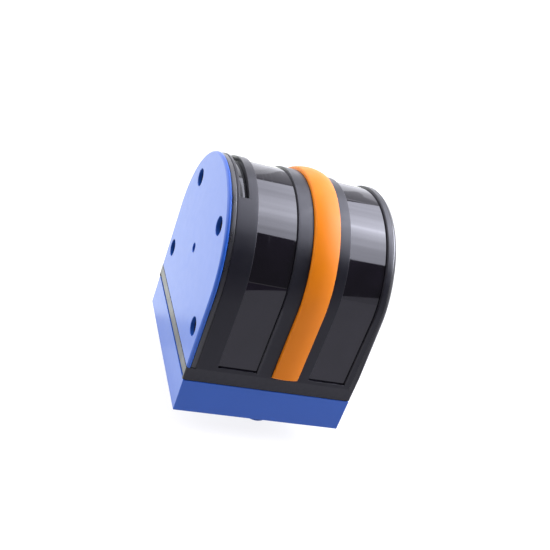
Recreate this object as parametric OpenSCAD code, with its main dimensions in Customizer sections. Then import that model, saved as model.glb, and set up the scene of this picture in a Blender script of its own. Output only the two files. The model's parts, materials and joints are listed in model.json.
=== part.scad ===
// Arched laser scanner with two windows, a spinning double mirror and a flat mounting plate.
// Frame: the scan axis is the X axis, the outer face of the mounting plate is x = 0,
// +Z points from the base cover up to the top of the arch. Millimetres.

/* [Body] */
// Radius of the arch and half the width of the body
arch_r = 40; // [39.5:0.1:41]
// Length of the body along the scan axis
body_len = 72; // [71.5:0.1:72.5]
// Height of the scan axis above the underside of the base cover
axis_h = 51.3; // [51:0.1:51.6]
// Height of the base cover
base_h = 14.5; // [14.3:0.1:14.8]
// Height of the black flange between the base cover and the two end plates
flange_h = 6; // [5.6:0.1:6.4]
// Radius of the hollow inside the housing
cavity_r = 35.6; // [35.2:0.1:35.8]

/* [Windows] */
// Depth of the window faces below the rims
window_recess = 0.9; // [0.7:0.1:1.2]
// Thickness of the window panes
window_t = 1.8; // [1.5:0.1:1.9]
// Depth of the status light strip below the rim
pipe_recess = 2; // [1.6:0.1:2.2]
// Start and width of the receiving window opening
rx_x = 12.2; // [12:0.1:12.4]
rx_w = 16.2; // [16:0.1:16.4]
// Start and width of the sending window opening
tx_x = 50.6; // [50.4:0.1:50.8]
tx_w = 16.2; // [16:0.1:16.3]
// Height of the lower edge of the openings above the flange ledge
sill_h = 1.7; // [1.5:0.1:2]

/* [Accent band] */
// Start and width of the raised band
band_x = 34.9; // [34.7:0.1:35.1]
band_w = 10.7; // [10.5:0.1:10.8]
// How far the crown of the band stands above the rims
band_rise = 2.2; // [1.8:0.1:2.4]
// Depth of the groove that holds the band
band_groove = 1.2; // [1:0.1:1.4]

/* [Mounting plate] */
// Thickness of the mounting plate
plate_t = 1.7; // [1.5:0.1:1.7]
// Radius of the four mounting holes
hole_r = 3.75; // [3.6:0.05:3.8]
// Half spacing and height of the upper pair of holes
up_y = 22.4; // [22:0.1:22.8]
up_z = 21.7; // [21.3:0.1:22]
// Half spacing and height of the lower pair of holes
lo_y = 31.6; // [31.4:0.1:31.6]
lo_z = -17.35; // [-17.6:0.05:-17]
// Radius and depth of the locating bore on the scan axis
loc_r = 2; // [1.9:0.05:2.1]
loc_depth = 1.4; // [1.2:0.1:2]
// Minor radius of the M5 threads in the inserts
m5_r = 2.1; // [2.05:0.05:2.15]

/* [Connector] */
// Position of the round plug connector under the base cover
con_x = 42.5; // [42:0.1:43]
con_y = -21; // [-21.5:0.1:-20.5]
// Outer radius and length of the threaded sleeve
con_r = 6; // [5.9:0.05:6.1]
con_len = 11.3; // [11:0.1:11.5]

/* [Drive] */
// Radius of the rotor shaft and of the bearing bore that it runs in
shaft_r = 1.96; // [1.95:0.005:1.97]
bearing_bore_r = 2; // [2:0.001:2.001]

/* [Hidden] */
$fn = 96;
e = 0.01;
zb = -axis_h;                    // underside of the base cover
z_seam = zb + base_h;            // top of the base cover
z_house = z_seam + 0.4;          // underside of the housing, above the gasket
z_ledge = z_seam + flange_h;     // lower edge of the two end plates
z_sill = z_ledge + sill_h;       // lower edge of the windows
pane_r = arch_r - window_recess; // outer face of the panes
pane_in = pane_r - window_t;
neck_x = 3.75;                   // start of the housing behind the gasket
wall_x = 6.2;                    // inner face of the left wall
cap_x = 69.3;                    // start of the right end cap
holes = [[up_y, up_z], [-up_y, up_z], [lo_y, lo_z], [-lo_y, lo_z]];
posts = [[7, 32], [7, -32], [65, 32], [65, -32]];
standoffs = [[14, 26], [14, -26], [58, 26], [58, -26]];
ledges = [[37.5, 31.2], [37.5, -31.2], [44.5, 31.2], [44.5, -31.2]];
board_z = zb + 6.4;              // underside of the main board
deck_z = -30;                    // underside of the chassis deck
rx_c = 20.3;                     // centre of the receiving mirror
tx_c = 57;                       // centre of the sending mirror

// extrusion of a section in (y, z) from x0 to x1
module along(x0, x1) translate([x0, 0, 0]) rotate([90, 0, 90]) linear_extrude(x1 - x0) children();
// arch section: half disc on two straight legs that end at z = low
module arch2d(r, low) union() {
    intersection() { circle(r); translate([-r, 0]) square([2 * r, r + 1]); }
    translate([-r, low]) square([2 * r, -low]);
}
// cylinder along X
module rod(x0, x1, r) translate([x0, 0, 0]) rotate([0, 90, 0]) cylinder(h = x1 - x0, r = r);
// cylinder along X at a place
module rod_at(y, z, x0, x1, r) translate([0, y, z]) rod(x0, x1, r);
// half turn of a profile (radius, x) over the top
module over() rotate([0, 90, 0]) rotate([0, 0, 90]) rotate_extrude(angle = 180) children();
// straight leg of the same profile, from z = a to z = b, on the front side
module leg(a, b) translate([0, 0, a]) rotate([0, 0, -90]) linear_extrude(b - a) children();
module legs(a, b) { leg(a, b) children(); mirror([0, 1, 0]) leg(a, b) children(); }
// solid of revolution about the scan axis
module spin() rotate([0, 90, 0]) rotate_extrude() children();
module box(lo, hi) translate(lo) cube([hi[0] - lo[0], hi[1] - lo[1], hi[2] - lo[2]]);
// strip that follows the arch between two radii
module strip(x0, x1, r0, r1, low) difference() {
    along(x0, x1) arch2d(r1, low);
    along(x0 - 1, x1 + 1) arch2d(r0, low - 1);
}

// rounded right-hand end of the body, as a profile (radius, x)
module end_profile(f) union() {
    square([arch_r - f, body_len]);
    square([arch_r, body_len - f]);
    translate([arch_r - f, body_len - f]) circle(f);
}
// outer envelope of the housing and the end cap; the rounding is large on the arch and small on the flange
module envelope() union() {
    over() end_profile(3.6);
    legs(-10, 0) end_profile(2.4);
    legs(-20, -10) end_profile(1.4);
    legs(z_seam - 1, -20) end_profile(0.6);
}

module main_housing() color([0.13, 0.13, 0.14]) difference() {
    union() {
        intersection() {
            union() {
                strip(neck_x, cap_x, cavity_r, arch_r, z_house);
                // left wall
                along(neck_x, wall_x) arch2d(cavity_r + e, z_house);
                // flange bars under the two end plates
                box([0, -arch_r, z_house], [neck_x + e, arch_r, z_ledge]);
                box([cap_x - e, -arch_r, z_house], [body_len, arch_r, z_ledge]);
                // ring that the end cap is screwed to
                strip(67.4, cap_x, 31, cavity_r + e, deck_z + 2.9);
            }
            envelope();
        }
        // spacers that the mounting plate is drawn against
        for (h = holes) intersection() {
            rod_at(h[0], h[1], plate_t, neck_x + e, 5.6);
            along(0, 5) arch2d(38.6, z_ledge + 1);
        }
        // bosses of the threaded inserts
        for (h = holes) rod_at(h[0], h[1], wall_x - e, 10.6, 4.4);
        for (h = holes) intersection() {
            rod_at(h[0], h[1], 62.8, cap_x - e, 3);
            along(60, 70) arch2d(cavity_r, z_ledge);
        }
        // posts of the base screws, tied to the front and rear walls
        for (p = posts) {
            translate([p[0], p[1], z_house]) cylinder(h = 9, r = 3.1);
            box([p[0] - 1, min(sign(p[1]) * 33, sign(p[1]) * 36), z_house], [p[0] + 1, max(sign(p[1]) * 33, sign(p[1]) * 36), z_ledge]);
        }
        // ledges of the chassis screws
        for (p = ledges) box([p[0] - 2.5, min(sign(p[1]) * 28.4, sign(p[1]) * 36), -27.4], [p[0] + 2.5, max(sign(p[1]) * 28.4, sign(p[1]) * 36), -22.4]);
        // shelf of the indicator board
        box([wall_x - e, -12, 28.3], [10.4, 12, 29.4]);
    }
    // window openings and the rebates of the panes
    for (w = [[rx_x, rx_w], [tx_x, tx_w]]) {
        translate([0, 0, 0]) strip(w[0], w[0] + w[1], 30, 50, z_sill);
    }
    strip(rx_x - 1.5, rx_x + rx_w + 1.5, pane_in - 0.2, pane_r, z_sill - 1.5);
    strip(tx_x - 1.5, tx_x + tx_w + 0.6, pane_in - 0.2, pane_r, z_sill - 1.5);
    // groove of the accent band
    strip(band_x, band_x + band_w, arch_r - band_groove, 50, z_ledge + 0.7);
    // slot of the status light
    rotate([0, 90, 0]) rotate([0, 0, 149]) translate([0, 0, 4.8]) rotate_extrude(angle = 62) translate([33.4, 0]) square([10, 3.5]);
    // pockets, insert seats and the clearance of the plate's central boss
    for (h = holes) { rod_at(h[0], h[1], 1, 5.4, hole_r); rod_at(h[0], h[1], 5.3, 11, 3.5); }
    rod(3, 7, 4.2);
    for (h = holes) rod_at(h[0], h[1], 64, 70, 1.25);
    for (p = posts) translate([p[0], p[1], z_house - 1]) cylinder(h = 9, r = 1.25);
    for (p = ledges) translate([p[0], p[1], -28]) cylinder(h = 5, r = 1.25);
}

module mounting_plate() color([0.11, 0.3, 0.78]) difference() {
    union() {
        // bevelled rim: half turn over the top and two straight legs
        over() plate_profile();
        legs(z_ledge, 0) plate_profile();
        // boss behind the locating bore
        rod(plate_t - e, 5.6, 4);
    }
    for (h = holes) rod_at(h[0], h[1], -1, 5, hole_r);
    rod(-1, loc_depth, loc_r);
}
module plate_profile() polygon([[0, 0], [arch_r - 0.8, 0], [arch_r - 0.25, 0.35], [arch_r, 0.9], [arch_r, plate_t], [0, plate_t]]);

module plate_gasket() color([0.36, 0.33, 0.31]) difference() {
    strip(plate_t, neck_x, 33.6, arch_r - 0.3, z_ledge);
    for (h = holes) rod_at(h[0], h[1], 0, 5, 5.8);
}

module end_cap() color([0.1, 0.1, 0.11]) difference() {
    intersection() {
        envelope();
        along(cap_x, body_len) arch2d(arch_r, z_ledge);
    }
    along(cap_x - 1, cap_x + 0.9) arch2d(30, -26);
    for (h = holes) {
        rod_at(h[0], h[1], cap_x - 1, body_len + 1, 1.7);
        rod_at(h[0], h[1], body_len - 1.3, body_len + 1, 3.2);
    }
}

module receive_window() color([0.05, 0.05, 0.06]) strip(rx_x - 1.4, rx_x + rx_w + 1.4, pane_in, pane_r, z_sill - 1.5);
module transmit_window() color([0.05, 0.05, 0.06]) strip(tx_x - 1.4, tx_x + tx_w + 0.6, pane_in, pane_r, z_sill - 1.5);

// crowned band: two soft shoulders and a shallow crown
module band_profile() intersection() {
    translate([arch_r - band_groove, band_x]) square([band_groove + band_rise, band_w]);
    translate([arch_r + band_rise - 14.6, band_x + band_w / 2]) circle(14.6, $fn = 200);
}
module accent_band() color([0.93, 0.56, 0.18]) union() {
    over() band_profile();
    legs(z_ledge + 0.7, 0) band_profile();
}

module status_light_pipe() color([0.12, 0.12, 0.14]) rotate([0, 90, 0]) rotate([0, 0, 149]) translate([0, 0, 4.8])
    rotate_extrude(angle = 62) translate([35.2, 0]) square([arch_r - pipe_recess - 35.2, 3.5]);

module base_cover() color([0.12, 0.32, 0.8]) difference() {
    union() {
        difference() {
            base_block(0.4, body_len, arch_r, zb, z_seam);
            box([3, -arch_r + 2.6, zb + 3], [body_len - 2.6, arch_r - 2.6, z_seam + 1]);
        }
        for (p = posts) translate([p[0], p[1], zb]) cylinder(h = base_h, r = 3.6);
        for (p = standoffs) translate([p[0], p[1], zb]) cylinder(h = board_z - zb, r = 3);
    }
    translate([con_x, con_y, zb - 1]) cylinder(h = 5, r = con_r);
    for (p = posts) translate([p[0], p[1], zb - 1]) { cylinder(h = 20, r = 1.7); cylinder(h = 3.6, r = 3.05); }
    for (p = standoffs) translate([p[0], p[1], zb + 2]) cylinder(h = 6, r = 1);
}
// threaded sleeve of the connector, set through the floor of the base cover
module connector_sleeve() color([0.12, 0.32, 0.8]) translate([con_x, con_y, zb - con_len]) difference() {
    cylinder(h = con_len + 3, r = con_r);
    translate([0, 0, -1]) cylinder(h = con_len + 5, r = 4.4);
    for (i = [1:8]) translate([0, 0, i]) rotate_extrude() polygon([[con_r + 0.1, -0.4], [con_r - 0.42, 0], [con_r + 0.1, 0.4]]);
}
// block with rounded upright edges
module base_block(x0, x1, w, z0, z1) translate([0, 0, z0]) linear_extrude(z1 - z0) round_rect(x0, x1, w, 1);
module round_rect(x0, x1, w, f) union() {
    translate([x0 + f, -w]) square([x1 - x0 - 2 * f, 2 * w]);
    translate([x0, -w + f]) square([x1 - x0, 2 * w - 2 * f]);
    for (x = [x0 + f, x1 - f], y = [-w + f, w - f]) translate([x, y]) circle(f, $fn = 48);
}

module base_gasket() color([0.05, 0.05, 0.06]) difference() {
    translate([0, 0, z_seam]) linear_extrude(z_house - z_seam) round_rect(0.9, body_len - 0.5, arch_r - 0.5, 1);
    box([2.9, -arch_r + 2.8, z_seam - 1], [body_len - 2.8, arch_r - 2.8, z_house + 1]);
    for (p = posts) translate([p[0], p[1], z_seam - 1]) cylinder(h = 3, r = 3.7);
}

// pan head screw pointing along +Z, head face at z = 0
module screw_up(r, head_r, head_h, len) difference() {
    union() { cylinder(h = head_h, r = head_r); cylinder(h = len, r = r); }
    translate([0, 0, -1]) cylinder(h = 1 + head_h * 0.6, r = head_r * 0.45, $fn = 6);
}
module base_screws() color([0.6, 0.6, 0.62]) for (p = posts) translate([p[0], p[1], zb + 0.4]) screw_up(1.25, 2.8, 2.2, 20.2);
module board_screws() color([0.6, 0.6, 0.62]) for (p = standoffs) translate([p[0], p[1], board_z + 1.6 + 1.5]) mirror([0, 0, 1]) screw_up(1, 1.9, 1.5, 6.4);
module chassis_screws() color([0.6, 0.6, 0.62]) for (p = ledges) translate([p[0], p[1], deck_z - 2]) screw_up(1.25, 2.6, 2, 8.4);
module cap_screws() color([0.3, 0.3, 0.32]) for (h = holes) translate([body_len - 0.1, h[0], h[1]]) rotate([0, -90, 0]) screw_up(1.25, 2.9, 1.2, 7.4);

module threaded_inserts() color([0.78, 0.62, 0.3]) for (h = holes) translate([0, h[0], h[1]]) difference() {
    rod(5.4, 10.4, 3.5);
    rod(5, 11, m5_r);
    translate([7.6, 0, 0]) spin() polygon([[3.3, 0], [3.6, 0], [3.6, 0.8], [3.3, 0.8]]);
}

module connector_insert() color([0.08, 0.08, 0.09]) difference() {
    translate([con_x, con_y, 0]) union() {
        translate([0, 0, zb - 1.6]) cylinder(h = 6.2, r = 4.4);
        translate([0, 0, zb + 3]) cylinder(h = 1.6, r = 6.4);
    }
    for (a = [45:90:315]) translate([con_x + 2.6 * cos(a), con_y + 2.6 * sin(a), zb - 3]) cylinder(h = 10, r = 0.5);
    translate([con_x, con_y + 4.4, zb - 1.7]) cylinder(h = 3, r = 0.8);
}
module connector_pins() color([0.85, 0.68, 0.3]) for (a = [45:90:315]) translate([con_x + 2.6 * cos(a), con_y + 2.6 * sin(a), 0]) {
    translate([0, 0, zb - 5.6]) cylinder(h = 5.6 + board_z - zb, r = 0.5);
    translate([0, 0, zb - 5.6]) mirror([0, 0, 1]) cylinder(h = 0.4, r1 = 0.5, r2 = 0.25);
}

module main_board() color([0.05, 0.32, 0.16]) difference() {
    box([10.8, -29.6, board_z], [61.2, 29.6, board_z + 1.6]);
    for (p = standoffs) translate([p[0], p[1], board_z - 1]) cylinder(h = 4, r = 1.1);
}
top_z = zb + 8;
module board_chips() color([0.1, 0.1, 0.11]) {
    box([26, -4, top_z], [40, 10, top_z + 1.4]);
    box([44, 4, top_z], [50, 14, top_z + 1.2]);
    box([30, 14, top_z], [34, 19, top_z + 1]);
    box([45, -10, top_z], [53, -2, top_z + 3.2]);
    for (y = [-14, -20]) translate([24, y, top_z]) cylinder(h = 4.4, r = 2.4);
}
module board_connectors() color([0.85, 0.83, 0.76]) {
    box([13, -6, top_z], [16.4, 6, top_z + 1.1]);
    box([55.6, -5, top_z], [59, 5, top_z + 1.1]);
    box([38, 18, top_z], [48, 23, top_z + 4]);
}

module optics_chassis() color([0.62, 0.63, 0.65]) difference() {
    union() {
        box([8.4, -33, deck_z], [68, 33, deck_z + 2.5]);
        // central bulkhead between the two optical chambers
        intersection() { along(30, 33) arch2d(34.6, deck_z); box([29, -33, deck_z], [34, 33, 36]); }
        // uprights of the receiving lens and of the laser
        box([8.6, -16, deck_z], [10.4, 16, 12]);
        box([62.5, -12, deck_z], [65.5, 12, 8]);
        for (y = [-31, 29]) box([12, y, deck_z], [66, y + 2, deck_z + 5]);
    }
    rod(29, 34, 5.3);
    for (a = [45:90:315]) rod_at(10.5 * cos(a), 10.5 * sin(a), 29, 34, 1.05);
    rod(8, 11, 8);
    rod(62, 66, 4.5);
    box([45.6, -9, deck_z + 1], [52.4, 9, deck_z + 3]);
    for (p = ledges) {
        translate([p[0], p[1], deck_z - 1]) cylinder(h = 9, r = 1.5);
        box([p[0] - 2.8, min(sign(p[1]) * 28.2, sign(p[1]) * 34), deck_z + 2.5], [p[0] + 2.8, max(sign(p[1]) * 28.2, sign(p[1]) * 34), deck_z + 9]);
    }
    for (p = posts) translate([p[0], p[1], deck_z - 1]) cylinder(h = 9, r = 3.5);
}

module baffle_seal() color([0.07, 0.07, 0.07]) difference() {
    strip(30.6, 32.4, 34.6, cavity_r, -20);
}

module motor_base() color([0.7, 0.71, 0.73]) difference() {
    union() {
        rod(33, 35, 13);
        rod(30.6, 46.8, 5);
        rod(35 - e, 37, 6.4);
    }
    rod(30, 47, 3.2);
    rod(30, 34, 4);
    rod(43.6, 48, 4);
    for (a = [45:90:315]) rod_at(10.5 * cos(a), 10.5 * sin(a), 32, 36, 1.05);
}
module shaft_bearings() color([0.75, 0.76, 0.78]) for (x = [30.8, 43.7]) difference() {
    rod(x, x + 3, 4);
    rod(x - 1, x + 4, bearing_bore_r);
    for (s = [0, 2.7]) translate([x + s, 0, 0]) spin() translate([2.6, 0]) square([0.8, 0.3]);
}

// nine T-shaped teeth
module stator_core() color([0.45, 0.46, 0.48]) along(37.5, 43) union() {
    difference() { circle(6.9); circle(5); }
    for (a = [0:40:320]) rotate(a) {
        translate([6.5, -0.9]) square([5, 1.8]);
        intersection() {
            difference() { circle(12.6); circle(11.3); }
            translate([8, -3.5]) square([6, 7]);
        }
    }
}
module stator_windings() color([0.72, 0.4, 0.2]) for (a = [0:40:320]) rotate([a, 0, 0]) difference() {
    box([36.7, 7.5, -1.9], [43.8, 11, 1.9]);
    box([37.5, 7, -0.9], [43, 12, 0.9]);
}

module encoder_sensor() color([0.09, 0.09, 0.1]) difference() {
    box([46.2, -5, deck_z + 2.5 - 1.5], [51.6, 5, -16.6]);
    box([48.2, -6, -24.5], [49.8, 6, -16]);
}

module lens_holder() color([0.1, 0.1, 0.11]) difference() {
    union() { rod(8.3, 13.2, 8); rod(10.4, 11.6, 9.6); }
    rod(8, 14, 6.2);
    rod(10.9, 14, 6.9);
}
module lens_shape(r, t) intersection() {
    translate([0, -t / 2]) square([r, t]);
    translate([0, t / 2 - 12]) circle(12, $fn = 160);
    translate([0, 12 - t / 2]) circle(12, $fn = 160);
}
module receive_lens() color([0.45, 0.2, 0.25]) translate([12, 0, 0]) spin() union() {
    lens_shape(6.88, 3.4);
    translate([5.6, -0.6]) square([1.28, 1.2]);
}
module detector_board() color([0.05, 0.32, 0.16]) difference() {
    box([6.9, -13, -16], [8.1, 13, 12]);
    rod(6, 9, 0.6);
}
module detector_diode() color([0.75, 0.65, 0.4]) union() { rod(8.1, 9.4, 2.4); rod(9.3, 9.7, 1.6); }

module laser_module() color([0.75, 0.6, 0.32]) difference() {
    union() { rod(61.2, 67.6, 4.5); rod(65.5, 66.5, 5.6); }
    rod(60, 64, 2.6);
    rod(64, 66, 1.2);
}
module collimator_lens() color([0.45, 0.5, 0.62]) translate([62.4, 0, 0]) spin() lens_shape(2.58, 1.8);
module laser_board() color([0.05, 0.32, 0.16]) box([67.6, -9, -20], [68.8, 9, 8]);
module indicator_board() color([0.05, 0.32, 0.16]) union() {
    box([6.3, -11.5, 29.4], [10.3, 11.5, 30.4]);
    for (y = [-9, 0, 9]) box([6.6, y - 1, 30.4], [8, y + 1, 31.1]);
}

// flat cables: an upright run and a run to the connector on the main board
module detector_flex() color([0.8, 0.5, 0.2]) union() {
    box([6.6, -4, top_z + 1.1], [6.9, 4, -10]);
    box([6.6, -4, top_z + 1.1], [15, 4, top_z + 1.4]);
}
module laser_flex() color([0.8, 0.5, 0.2]) union() {
    box([68.8, -4, top_z + 1.1], [69.1, 4, -14]);
    box([57, -4, top_z + 1.1], [69.1, 4, top_z + 1.4]);
}

module rotor_shaft() color([0.78, 0.79, 0.8]) rod(27, 52.5, shaft_r);
module rotor_bell() color([0.6, 0.61, 0.63]) difference() {
    union() { rod(36.4, 48, 15.4); rod(48 - e, 48.6, 4.5); }
    rod(36, 47.2, 14.4);
    rod(46, 49, shaft_r);
    for (a = [0:60:300]) rod_at(9.4 * cos(a), 9.4 * sin(a), 47, 48.5, 2);
}
module rotor_magnets() color([0.25, 0.25, 0.27]) difference() {
    rod(37, 44, 14.4);
    rod(36, 45, 13.1);
    for (a = [0:30:330]) rotate([a, 0, 0]) box([36, 12.6, -0.25], [45, 14.2, 0.25]);
}
module encoder_disc() color([0.35, 0.35, 0.37]) difference() {
    rod(48.7, 49.2, 20);
    rod(48, 50, shaft_r);
    for (a = [0:15:345]) rotate([a, 0, 0]) box([48, 16.8, -1.1], [50, 19.2, 1.1]);
}

// cylinder cut at 45 degrees through its centre; s = -1 faces the left end, s = 1 the right end
module slanted(x0, x1, r, c, s, off) intersection() {
    rod(x0, x1, r);
    translate([c, 0, 0]) rotate([0, s * 45, 0]) translate([-60, -30, -60 - off]) cube([120, 60, 60]);
}
module receive_mirror_block() color([0.5, 0.51, 0.53]) difference() {
    slanted(13.7, 29.6, 6.5, rx_c, -1, 1);
    rod(26.9, 30, shaft_r);
}
module receive_mirror() color([0.85, 0.88, 0.92]) difference() {
    slanted(10, 32, 6.3, rx_c, -1, 0);
    slanted(9, 33, 7, rx_c, -1, 1);
}
module transmit_mirror_block() color([0.5, 0.51, 0.53]) difference() {
    slanted(49.3, 61.4, 4, tx_c, 1, 0.8);
    rod(49, 52.6, shaft_r);
}
module transmit_mirror() color([0.85, 0.88, 0.92]) difference() {
    slanted(50, 63, 3.8, tx_c, 1, 0);
    slanted(49, 64, 4.5, tx_c, 1, 0.8);
}

main_housing();
mounting_plate();
plate_gasket();
end_cap();
receive_window();
transmit_window();
accent_band();
status_light_pipe();
base_cover();
base_gasket();
base_screws();
cap_screws();
threaded_inserts();
connector_sleeve();
connector_insert();
connector_pins();
main_board();
board_chips();
board_connectors();
board_screws();
optics_chassis();
chassis_screws();
baffle_seal();
motor_base();
stator_core();
stator_windings();
shaft_bearings();
encoder_sensor();
lens_holder();
receive_lens();
detector_diode();
detector_board();
laser_module();
collimator_lens();
laser_board();
indicator_board();
detector_flex();
laser_flex();
rotor_shaft();
rotor_bell();
rotor_magnets();
encoder_disc();
receive_mirror_block();
receive_mirror();
transmit_mirror_block();
transmit_mirror();
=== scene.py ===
import bpy, bmesh, math, json
import numpy as np
from mathutils import Vector, Matrix


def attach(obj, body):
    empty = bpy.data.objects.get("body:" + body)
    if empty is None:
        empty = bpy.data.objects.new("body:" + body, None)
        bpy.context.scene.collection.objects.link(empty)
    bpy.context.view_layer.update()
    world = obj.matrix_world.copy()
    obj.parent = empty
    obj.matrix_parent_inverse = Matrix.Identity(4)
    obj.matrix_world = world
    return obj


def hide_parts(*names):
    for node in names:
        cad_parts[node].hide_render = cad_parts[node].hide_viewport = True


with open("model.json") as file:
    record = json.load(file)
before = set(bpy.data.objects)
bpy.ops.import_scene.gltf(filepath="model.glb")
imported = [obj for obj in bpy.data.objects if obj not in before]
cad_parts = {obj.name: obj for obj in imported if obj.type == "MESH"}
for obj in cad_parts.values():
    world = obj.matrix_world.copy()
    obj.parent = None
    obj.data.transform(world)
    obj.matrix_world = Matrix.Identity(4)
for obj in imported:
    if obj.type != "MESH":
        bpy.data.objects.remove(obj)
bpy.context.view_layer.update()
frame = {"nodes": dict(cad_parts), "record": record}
BODY = "scanner_body"
ROTOR = "scan_rotor"
MM = 0.001

# ------------------------------------------------------------------ design sizes, millimetres, row frame
R = 40.0
LEN = 72.0
Z_BOT = -51.3
Z_SEAM = -36.8
Z_HOUSE = -36.4
Z_LEDGE = -30.8
Z_SILL = -29.1
X_NECK = 3.75
X_CAP = 69.3
HOLES = [(22.4, 21.7), (-22.4, 21.7), (31.6, -17.35), (-31.6, -17.35)]
POSTS = [(7.0, 32.0), (7.0, -32.0), (65.0, 32.0), (65.0, -32.0)]
STAND = [(14.0, 26.0), (14.0, -26.0), (58.0, 26.0), (58.0, -26.0)]
CON = (42.5, -21.0)


# ------------------------------------------------------------------ materials
def material(name, color, rough, metallic=0.0, coat=0.0, coat_rough=0.1, ior=1.5, grain=2600.0, grain_d=0.000006, grain_s=0.25,
             var=0.06, var_scale=90.0, rvar=0.05, scratch=0.0, wear=0.0, wear_color=None, brushed=None, spec=0.5,
             transmission=0.0, subsurface=0.0, speck=0.0):
    """A moulded, turned or cast surface: fine grain in the bump, slow colour and roughness change, hairline scratches and worn edges."""
    m = bpy.data.materials.new(name)
    m.use_nodes = True
    nt = m.node_tree
    nt.nodes.clear()
    N, L = nt.nodes, nt.links
    out = N.new("ShaderNodeOutputMaterial")
    b = N.new("ShaderNodeBsdfPrincipled")
    L.new(b.outputs["BSDF"], out.inputs["Surface"])
    b.inputs["Metallic"].default_value = metallic
    b.inputs["IOR"].default_value = ior
    b.inputs["Specular IOR Level"].default_value = spec
    b.inputs["Coat Weight"].default_value = coat
    b.inputs["Coat Roughness"].default_value = coat_rough
    b.inputs["Transmission Weight"].default_value = transmission
    if subsurface:
        b.inputs["Subsurface Weight"].default_value = subsurface
        b.inputs["Subsurface Radius"].default_value = (0.0016, 0.0008, 0.0004)
    tc = N.new("ShaderNodeTexCoord")
    # slow colour change
    n1 = N.new("ShaderNodeTexNoise")
    n1.inputs["Scale"].default_value = var_scale
    n1.inputs["Detail"].default_value = 4.0
    L.new(tc.outputs["Object"], n1.inputs["Vector"])
    ramp = N.new("ShaderNodeValToRGB")
    c = np.array(color[:3], float)
    lo, hi = np.clip(c * (1 - var), 0, 1), np.clip(c * (1 + var), 0, 1)
    ramp.color_ramp.elements[0].position = 0.3
    ramp.color_ramp.elements[1].position = 0.7
    ramp.color_ramp.elements[0].color = (*lo, 1)
    ramp.color_ramp.elements[1].color = (*hi, 1)
    L.new(n1.outputs["Fac"], ramp.inputs["Fac"])
    col = ramp.outputs["Color"]
    if speck:
        # fine pigment specks
        v = N.new("ShaderNodeTexVoronoi")
        v.inputs["Scale"].default_value = 1500.0
        L.new(tc.outputs["Object"], v.inputs["Vector"])
        mr = N.new("ShaderNodeMapRange")
        mr.inputs["From Min"].default_value = 0.0
        mr.inputs["From Max"].default_value = 0.25
        mr.inputs["To Min"].default_value = speck
        mr.inputs["To Max"].default_value = 0.0
        L.new(v.outputs["Distance"], mr.inputs["Value"])
        mx = N.new("ShaderNodeMix")
        mx.data_type = "RGBA"
        L.new(mr.outputs["Result"], mx.inputs["Factor"])
        L.new(col, mx.inputs["A"])
        mx.inputs["B"].default_value = (*np.clip(c * 1.6 + 0.02, 0, 1), 1)
        col = mx.outputs["Result"]
    if wear and wear_color is not None:
        geo = N.new("ShaderNodeNewGeometry")
        n3 = N.new("ShaderNodeTexNoise")
        n3.inputs["Scale"].default_value = 700.0
        n3.inputs["Detail"].default_value = 5.0
        L.new(tc.outputs["Object"], n3.inputs["Vector"])
        add = N.new("ShaderNodeMath")
        add.operation = "MULTIPLY_ADD"
        L.new(n3.outputs["Fac"], add.inputs[0])
        add.inputs[1].default_value = 0.08
        L.new(geo.outputs["Pointiness"], add.inputs[2])
        mr = N.new("ShaderNodeMapRange")
        mr.inputs["From Min"].default_value = 0.56
        mr.inputs["From Max"].default_value = 0.64
        mr.inputs["To Max"].default_value = wear
        L.new(add.outputs[0], mr.inputs["Value"])
        mx = N.new("ShaderNodeMix")
        mx.data_type = "RGBA"
        L.new(mr.outputs["Result"], mx.inputs["Factor"])
        L.new(col, mx.inputs["A"])
        mx.inputs["B"].default_value = (*wear_color, 1)
        col = mx.outputs["Result"]
    L.new(col, b.inputs["Base Color"])
    # roughness: slow change plus hairlines
    n2 = N.new("ShaderNodeTexNoise")
    n2.inputs["Scale"].default_value = 230.0
    n2.inputs["Detail"].default_value = 6.0
    L.new(tc.outputs["Object"], n2.inputs["Vector"])
    rr = N.new("ShaderNodeMapRange")
    rr.inputs["From Min"].default_value = 0.3
    rr.inputs["From Max"].default_value = 0.7
    rr.inputs["To Min"].default_value = max(0.0, rough - rvar)
    rr.inputs["To Max"].default_value = min(1.0, rough + rvar)
    L.new(n2.outputs["Fac"], rr.inputs["Value"])
    rsock = rr.outputs["Result"]
    if scratch:
        mp = N.new("ShaderNodeMapping")
        mp.inputs["Scale"].default_value = (2600.0, 60.0, 90.0)
        mp.inputs["Rotation"].default_value = (0.3, 0.5, 0.4)
        L.new(tc.outputs["Object"], mp.inputs["Vector"])
        n4 = N.new("ShaderNodeTexNoise")
        n4.inputs["Scale"].default_value = 1.0
        n4.inputs["Detail"].default_value = 2.0
        L.new(mp.outputs["Vector"], n4.inputs["Vector"])
        ms = N.new("ShaderNodeMapRange")
        ms.inputs["From Min"].default_value = 0.66
        ms.inputs["From Max"].default_value = 0.74
        ms.inputs["To Max"].default_value = scratch
        L.new(n4.outputs["Fac"], ms.inputs["Value"])
        ad = N.new("ShaderNodeMath")
        ad.operation = "ADD"
        L.new(rsock, ad.inputs[0])
        L.new(ms.outputs["Result"], ad.inputs[1])
        rsock = ad.outputs[0]
    L.new(rsock, b.inputs["Roughness"])
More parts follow.
